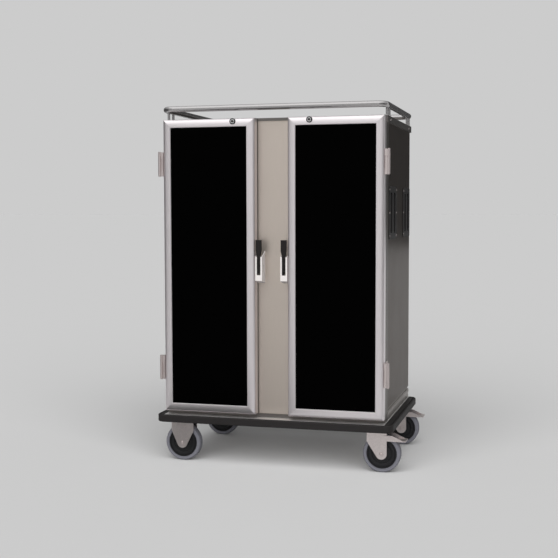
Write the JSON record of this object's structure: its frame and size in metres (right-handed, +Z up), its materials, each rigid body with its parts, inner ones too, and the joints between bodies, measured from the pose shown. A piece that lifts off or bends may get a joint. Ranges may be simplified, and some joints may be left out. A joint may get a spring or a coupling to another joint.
{
  "type": "insulated food transport cart",
  "caption": "Upright two-door insulated cart for carrying food on trays, with lever latches, recessed push handles, a roof rail, a buffer ring and braked castors.",
  "frame": {"origin": "on the floor under the centre of the overall outline", "axes": "+X to the right when facing the doors, +Y away from the doors to the back, +Z up"},
  "size_m": [1.169, 0.78, 1.6615],
  "materials": {
    "galvanised_tray": "satin folded sheet",
    "black_buffer": "matt",
    "grey_aluminium": "satin anodised",
    "brushed_sheet": "brushed",
    "roof_sheet": "brushed",
    "liner_steel": "brushed",
    "foam": "rigid foam",
    "black_plastic": "fine grained",
    "screw_steel": "zinc plated",
    "polished_steel": "fine ground tube",
    "latch_steel": "satin",
    "hinge_steel": "satin",
    "zinc_fork": "zinc plated pressing",
    "pedal_steel": "zinc plated pressing",
    "door_aluminium": "satin anodised",
    "black_panel": "gloss",
    "gasket_rubber": "soft profile",
    "lock_metal": "satin chrome",
    "grey_tyre": "non-marking grey rubber",
    "wheel_core": "moulded nylon"
  },
  "bodies": {
    "cabinet": {"chassis_tray": "galvanised_tray", "buffer_ring": "black_buffer", "bottom_frame": "grey_aluminium", "front_frame": "grey_aluminium", "roof_panel": "roof_sheet", "back_panel": "brushed_sheet", "centre_panel": "brushed_sheet", "left_liner": "liner_steel", "right_liner": "liner_steel", "insulation": "foam", "tray_runners": "liner_steel", "panel_screws": "screw_steel", "guard_rail": "polished_steel", "fixed_forks": "zinc_fork", "fixed_axles": "screw_steel", "swivel_plates": "zinc_fork", "castor_bolts": "screw_steel", "latch_pins": "latch_steel", "cabinet_hinge_leaves": "hinge_steel", "hinge_pins": "hinge_steel", "right_side_panel": "brushed_sheet", "left_side_panel": "brushed_sheet", "right_push_handles": "black_plastic", "left_push_handles": "black_plastic", "right_latch_housing": "latch_steel", "left_latch_housing": "latch_steel"},
    "left_door": {"left_door_frame": "door_aluminium", "left_door_front_panel": "black_panel", "left_door_core": "foam", "left_door_inner_skin": "liner_steel", "left_door_gasket": "gasket_rubber", "left_lock_barrel": "lock_metal", "left_door_hinge_leaves": "hinge_steel"},
    "left_lock": {"left_lock_plug": "lock_metal"},
    "left_lever": {"left_latch_lever": "black_plastic"},
    "left_bolt": {"left_latch_bolt": "latch_steel"},
    "right_door": {"right_door_frame": "door_aluminium", "right_door_front_panel": "black_panel", "right_door_core": "foam", "right_door_inner_skin": "liner_steel", "right_door_gasket": "gasket_rubber", "right_lock_barrel": "lock_metal", "right_door_hinge_leaves": "hinge_steel"},
    "right_lock": {"right_lock_plug": "lock_metal"},
    "right_lever": {"right_latch_lever": "black_plastic"},
    "right_bolt": {"right_latch_bolt": "latch_steel"},
    "left_front_wheel": {"left_front_tyre": "grey_tyre", "left_front_wheel_core": "wheel_core"},
    "right_front_wheel": {"right_front_tyre": "grey_tyre", "right_front_wheel_core": "wheel_core"},
    "right_front_swivel": {"right_front_fork": "zinc_fork", "right_front_axle": "screw_steel"},
    "right_front_brake": {"right_front_brake_pedal": "pedal_steel"},
    "left_rear_wheel": {"left_rear_tyre": "grey_tyre", "left_rear_wheel_core": "wheel_core"},
    "right_rear_wheel": {"right_rear_tyre": "grey_tyre", "right_rear_wheel_core": "wheel_core"},
    "right_rear_swivel": {"right_rear_fork": "zinc_fork", "right_rear_axle": "screw_steel"},
    "right_rear_brake": {"right_rear_brake_pedal": "pedal_steel"}
  },
  "joints": [
    {"name": "right_door_hinge", "type": "hinge", "parent": "cabinet", "child": "right_door", "pos_m": [0.5105, -0.372, 0.9225], "axis": [0, 0, 1], "range_deg": [0, 265]},
    {"name": "right_lock_turn", "type": "hinge", "parent": "right_door", "child": "right_lock", "pos_m": [0.1535, -0.378, 1.585], "axis": [0, 1, 0], "range_deg": [0, 90]},
    {"name": "right_latch_lever_turn", "type": "hinge", "parent": "cabinet", "child": "right_lever", "pos_m": [0.0335, -0.36, 0.905], "axis": [1, 0, 0], "range_deg": [0, 60]},
    {"name": "right_latch_bolt_slide", "type": "slide", "parent": "cabinet", "child": "right_bolt", "axis": [1, 0, 0], "range_m": [-0.01, 0]},
    {"name": "left_door_hinge", "type": "hinge", "parent": "cabinet", "child": "left_door", "pos_m": [-0.5615, -0.372, 0.9225], "axis": [0, 0, -1], "range_deg": [0, 265]},
    {"name": "left_lock_turn", "type": "hinge", "parent": "left_door", "child": "left_lock", "pos_m": [-0.2045, -0.378, 1.585], "axis": [0, -1, 0], "range_deg": [0, 90]},
    {"name": "left_latch_lever_turn", "type": "hinge", "parent": "cabinet", "child": "left_lever", "pos_m": [-0.0845, -0.36, 0.905], "axis": [1, 0, 0], "range_deg": [0, 60]},
    {"name": "left_latch_bolt_slide", "type": "slide", "parent": "cabinet", "child": "left_bolt", "axis": [-1, 0, 0], "range_m": [-0.01, 0]},
    {"name": "left_front_wheel_roll", "type": "hinge", "parent": "cabinet", "child": "left_front_wheel", "pos_m": [-0.4775, -0.295, 0.086], "axis": [0, 1, 0], "continuous": true},
    {"name": "right_front_castor_swivel", "type": "hinge", "parent": "cabinet", "child": "right_front_swivel", "pos_m": [0.4335, -0.295, 0.2], "axis": [0, 0, 1], "continuous": true},
    {"name": "right_front_wheel_roll", "type": "hinge", "parent": "right_front_swivel", "child": "right_front_wheel", "pos_m": [0.4735, -0.295, 0.086], "axis": [0, 1, 0], "continuous": true},
    {"name": "right_front_brake_press", "type": "hinge", "parent": "right_front_swivel", "child": "right_front_brake", "pos_m": [0.4885, -0.295, 0.16], "axis": [0, 1, 0], "range_deg": [0, 6]},
    {"name": "left_rear_wheel_roll", "type": "hinge", "parent": "cabinet", "child": "left_rear_wheel", "pos_m": [-0.4775, 0.295, 0.086], "axis": [0, 1, 0], "continuous": true},
    {"name": "right_rear_castor_swivel", "type": "hinge", "parent": "cabinet", "child": "right_rear_swivel", "pos_m": [0.4335, 0.295, 0.2], "axis": [0, 0, 1], "continuous": true},
    {"name": "right_rear_wheel_roll", "type": "hinge", "parent": "right_rear_swivel", "child": "right_rear_wheel", "pos_m": [0.4735, 0.295, 0.086], "axis": [0, 1, 0], "continuous": true},
    {"name": "right_rear_brake_press", "type": "hinge", "parent": "right_rear_swivel", "child": "right_rear_brake", "pos_m": [0.4885, 0.295, 0.16], "axis": [0, 1, 0], "range_deg": [0, 6]}
  ],
  "couplings": [
    {"joint": "right_latch_bolt_slide", "follows": "right_latch_lever_turn", "m_per_rad": -0.0095492},
    {"joint": "left_latch_bolt_slide", "follows": "left_latch_lever_turn", "m_per_rad": -0.0095492}
  ]
}
